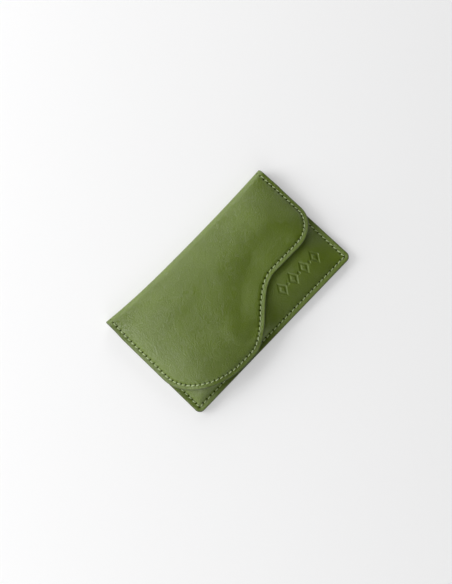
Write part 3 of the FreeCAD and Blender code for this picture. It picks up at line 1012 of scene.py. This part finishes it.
def build_flap():
    """The flap's leather and lining, each from its free edge to the middle of the fold, and their thread."""
    edge = seam_points(flap_edge())
    seam = edge + inwards(edge, False) * FLAP_SEAM_INSET

    def thickness(flat):
        x, s = flat[:, 0], flat[:, 1]
        distance = flap_distance(flat)
        outside = flap_padding(x, s, distance) - flap_seam_dip(s, distance)
        return np.maximum(LEATHER + outside - board_room(s, distance), THINNEST)

    shell = sheet(
        "flap_shell", edge, flap_surface, thickness, leather,
        rings=rows_at(FLAP_SEAM_INSET, 0.7, 1.2, 3.3, 4.0), holes=seam_holes(seam),
    )
    replace_nodes(with_flap(shell), "leather", "flap_leather", "fold_leather")
    inner = below(plain_flap_surface, LEATHER + FILM)
    lining = sheet(
        "flap_inner_lining", evenly(flap_edge(0.2), 300), inner, LINING, lining_leather,
        rim=LINING_RIM, rings=(1.0,), spacing=1.5,
    )
    replace_nodes(with_flap(lining), "lining", "flap_lining", "fold_lining")
    top_thread = stitches("flap_top_stitches", [seam], flap_surface, thread, end=TOP_STITCHES_END)
    replace_nodes(with_flap(top_thread), "thread", "flap_needle_thread", "fold_thread")
    under_thread = stitches(
        "flap_under_stitches", [seam], underside(inner, LINING), thread,
        radius=LINING_THREAD_RADIUS, proud=0.8,
    )
    replace_nodes(with_flap(under_thread), "thread", "flap_bobbin_thread")


def body_seam(end):
    """The body's seam as three straight lines, down from s = end to the corners and back up."""
    x, low = HALF_LENGTH - BODY_SEAM_INSET, BOTTOM_Y + BODY_SEAM_INSET
    corners = np.array([(-x, end), (-x, low), (x, low), (x, end)])
    return [seam_points(np.array(pair)) for pair in zip(corners, corners[1:])]


def build_back():
    """The back panel's leather and lining, up to the middle of the fold, and the lower thread."""
    seam = body_seam(FOLD_END)
    shell = sheet(
        "back_shell", seam_points(body_edge()), back_surface, LEATHER, leather,
        rings=rows_at(BODY_SEAM_INSET, 0.7, 1.2, 3.6), spacing=1.6,
        holes=np.vstack([seam_holes(line) for line in seam]),
    )
    replace_nodes(with_back(shell), "leather", "back_panel")
    inner = below(plain_back_surface, LEATHER + FILM)
    lining = sheet(
        "back_inner_lining", evenly(body_edge(0.15), 260), inner, LINING, lining_leather,
        rim=LINING_RIM, rings=(1.0,), spacing=1.8,
    )
    replace_nodes(with_back(lining), "lining", "back_lining")
    lower = stitches("back_stitches", seam, back_surface, thread, proud=0.6)
    replace_nodes(with_back(lower), "thread", "pocket_bobbin_thread")


def build_divider():
    """The flat sheet between the rear slot and the main pocket."""
    surface = surface_from(lambda flat: np.column_stack((flat, np.full(len(flat), DIVIDER_HIGH[2]))))
    divider = sheet(
        "card_slot_divider", evenly(panel_edge(0.1, DIVIDER_HIGH[1]), 260), surface, DIVIDER, lining_leather,
        closed=True, rim=0.15, rings=(1.0,), spacing=2.0,
    )
    replace_nodes(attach(divider, "pocket"), "lining", "card_divider")


def panel_thickness(flat):
    """Thickness of the front panel's leather, which has a recess for the keeper in its inside."""
    plain = LEATHER + (panel_position(flat) - panel_position(flat, stamped=False))[:, 2]
    recess = KEEPER_HIGH[2] - KEEPER_LOW[2] + 2 * FILM
    from_keeper = np.hypot(*(flat - MAGNET).T)
    return plain - recess * smooth(KEEPER_RADIUS + 0.6, KEEPER_RADIUS + 0.1, from_keeper)


def build_pocket():
    """The pocket's lining, its front panel, and the top thread of its seams."""
    lining = sheet(
        "pocket_lining", evenly(panel_edge(0.15), 260), below(plain_panel_surface, LEATHER + FILM), LINING,
        lining_leather, closed=True, rim=LINING_RIM, rings=(1.0,), spacing=1.5,
    )
    replace_nodes(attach(lining, "pocket"), "lining", "front_lining")

    seam = body_seam(MOUTH_Y - 1)
    mouth_half = HALF_LENGTH - BODY_SEAM_INSET - 2
    mouth_y = MOUTH_Y - BODY_SEAM_INSET
    mouth = seam_points(np.array([(-mouth_half, mouth_y), (mouth_half, mouth_y)]))
    reach = np.array((2.5 * MOTIF_PITCH - 3, MOTIF_HALF_HEIGHT + 1))
    stamped_area = (np.array(MOTIF_CENTRE) - reach, np.array(MOTIF_CENTRE) + reach, 0.28)
    panel = sheet(
        "front_pocket", seam_points(panel_edge()), panel_surface, panel_thickness, leather, closed=True,
        rings=rows_at(BODY_SEAM_INSET, 0.7, 1.2, 3.4, 4.0), spacing=1.2,
        holes=np.vstack([seam_holes(line) for line in seam + [mouth]]), finer=stamped_area,
    )
    replace_nodes(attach(panel, "pocket"), "leather", "front_panel")
    front_thread = stitches("front_stitches", seam, panel_surface, thread)
    replace_nodes(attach(front_thread, "pocket"), "thread", "pocket_needle_thread")
    mouth_thread = stitches("mouth_stitches", [mouth], panel_surface, thread)
    replace_nodes(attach(mouth_thread, "pocket"), "thread", "mouth_thread")


def build_side_stitches():
    """The body's thread inside, past the pocket's mouth, where the side seams hold only the back."""
    side_x = HALF_LENGTH - BODY_SEAM_INSET
    low = DIVIDER_HIGH[1] + 1
    sides = [seam_points(np.array([(x, FOLD_END), (x, low)])) for x in (-side_x, side_x)]
    inner_face = underside(plain_back_surface, LEATHER + FILM + LINING)
    with_back(stitches("side_stitches", sides, inner_face, thread))


def finish_hidden_nodes():
    """The board, the magnet and its keeper stay as they are, with materials of their own."""
    for name, material in (("flap_stiffener", board), ("flap_magnet", nickel), ("front_keeper", steel)):
        hidden = frame["nodes"][name]
        hidden.data.materials.clear()
        hidden.data.materials.append(material)


# ------------------------------ floor, light and camera
def build_floor():
    """A plain pale floor that glows a little, so that shadows on it stay pale."""
    mesh = bpy.data.meshes.new("floor")
    size = FLOOR_SIZE
    corners = [(-size, -size, 0), (size, -size, 0), (size, size, 0), (-size, size, 0)]
    mesh.from_pydata(corners, [], [(0, 1, 2, 3)])
    floor = bpy.data.objects.new("floor", mesh)
    bpy.context.scene.collection.objects.link(floor)
    floor.location.z = -FLOOR_GAP
    material, _, _, shader = new_material("floor")
    shader.inputs["Base Color"].default_value = FLOOR_COLOUR
    shader.inputs["Emission Color"].default_value = WHITE
    shader.inputs["Emission Strength"].default_value = FLOOR_GLOW
    shader.inputs["Roughness"].default_value = 0.9
    shader.inputs["Specular IOR Level"].default_value = 0.1
    mesh.materials.append(material)


def soft_light(azimuth, elevation, size, power):
    """A square light that looks at the object. Angles are in degrees, from the +X axis and from the floor."""
    light = bpy.data.lights.new("soft_light", "AREA")
    light.shape = "SQUARE"
    light.size = size
    light.energy = power
    lamp = bpy.data.objects.new("soft_light", light)
    turn, rise = math.radians(azimuth), math.radians(elevation)
    towards = Vector((math.cos(turn) * math.cos(rise), math.sin(turn) * math.cos(rise), math.sin(rise)))
    lamp.location = towards * LIGHT_DISTANCE
    lamp.rotation_mode = "QUATERNION"
    lamp.rotation_quaternion = towards.to_track_quat("Z", "Y")
    bpy.context.scene.collection.objects.link(lamp)


def build_light():
    """Low soft lights behind the fold and at the left, strongest between them, and weaker high ones."""
    for azimuth, power in LOW_LIGHTS:
        soft_light(azimuth, LOW_ELEVATION, LOW_SIZE, power)
    for azimuth, power in HIGH_LIGHTS:
        soft_light(azimuth, HIGH_ELEVATION, HIGH_SIZE, power)


def build_backdrop():
    """A pale surrounding that the camera sees, and that lights nothing."""
    world = bpy.data.worlds.new("studio")
    world.use_nodes = True
    nodes, links = world.node_tree.nodes, world.node_tree.links
    seen = node(nodes, "LightPath")
    brightness = calculate(nodes, links, "MULTIPLY", seen.outputs["Is Camera Ray"], BACKDROP_BRIGHTNESS)
    links.new(brightness, nodes["Background"].inputs["Strength"])
    nodes["Background"].inputs["Color"].default_value = WHITE
    bpy.context.scene.world = world
    bpy.context.scene.view_settings.view_transform = "Standard"


def build_camera():
    """Looks down at the holder, turned so that the fold runs up to the right."""
    back = Vector((
        math.sin(CAMERA_AZIMUTH) * math.cos(CAMERA_ELEVATION),
        -math.cos(CAMERA_AZIMUTH) * math.cos(CAMERA_ELEVATION),
        math.sin(CAMERA_ELEVATION),
    ))
    right = Vector((0, 0, 1)).cross(back).normalized()
    up = back.cross(right)
    turned_right = right * math.cos(CAMERA_ROLL) + up * math.sin(CAMERA_ROLL)
    turned_up = up * math.cos(CAMERA_ROLL) - right * math.sin(CAMERA_ROLL)
    data = bpy.data.cameras.new("camera")
    data.lens = 50
    data.sensor_width = 36
    data.clip_start = 0.01
    camera = bpy.data.objects.new("camera", data)
    camera.matrix_world = Matrix((turned_right, turned_up, back)).transposed().to_4x4()
    camera.location = CAMERA_TARGET + back * CAMERA_DISTANCE
    bpy.context.scene.collection.objects.link(camera)
    bpy.context.scene.camera = camera


build_back()
build_divider()
build_pocket()
build_side_stitches()
build_flap()
finish_hidden_nodes()
build_floor()
build_light()
build_backdrop()
build_camera()
